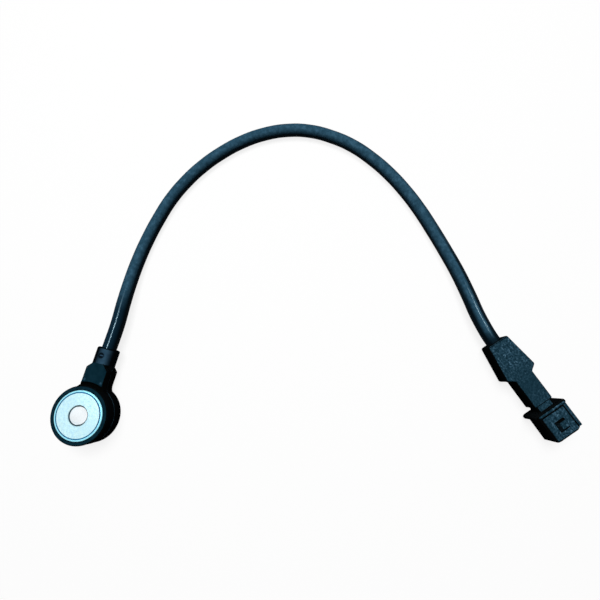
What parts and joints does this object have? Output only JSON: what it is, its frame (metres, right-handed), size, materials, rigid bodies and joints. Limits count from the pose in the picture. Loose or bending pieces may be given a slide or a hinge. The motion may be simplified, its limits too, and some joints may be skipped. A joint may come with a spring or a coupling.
{
  "type": "engine knock sensor",
  "caption": "Ring-type engine knock sensor with a through bore, a steel seat flange, a moulded body, a fixed lead and a blade plug.",
  "frame": {"origin": "centre of the bolt bore at the sleeve's lower end, where the bolt head bears", "axes": "+Z along the bore, out of the seat that touches the engine block; +X along the plug, the way its mating socket comes off"},
  "size_m": [0.2183, 0.2159, 0.0144],
  "materials": {
    "moulding": "glass-filled nylon, moulded, satin",
    "plug_moulding": "glass-filled nylon, spark-eroded texture, matte",
    "jacket": "smooth extruded jacket, satin",
    "zinc_steel": "turned, clear zinc plate",
    "spring_steel": "plain steel, oiled",
    "contact_brass": "stamped sheet",
    "tinned": "tin plated, satin",
    "crystal": "ground, silver electrodes",
    "insulator": "polyimide film",
    "core_pale": "core insulation, pale",
    "core_dark": "core insulation, dark"
  },
  "bodies": {
    "root": {"housing": "moulding", "sleeve": "zinc_steel", "stack_tube": "insulator", "seat_insulator": "insulator", "seat_contact": "contact_brass", "piezo_ring": "crystal", "mass_contact": "contact_brass", "mass_insulator": "insulator", "seismic_mass": "spring_steel", "disc_spring": "spring_steel", "ring_nut": "zinc_steel", "joint_crimps": "tinned", "signal_core_head": "core_pale", "return_core_head": "core_dark", "lead_end_head": "jacket", "lead": "jacket", "lead_end_plug": "jacket", "signal_core_plug": "core_pale", "return_core_plug": "core_dark", "boot": "plug_moulding", "plug_shell": "plug_moulding", "signal_blade": "tinned", "return_blade": "tinned"}
  },
  "joints": []
}
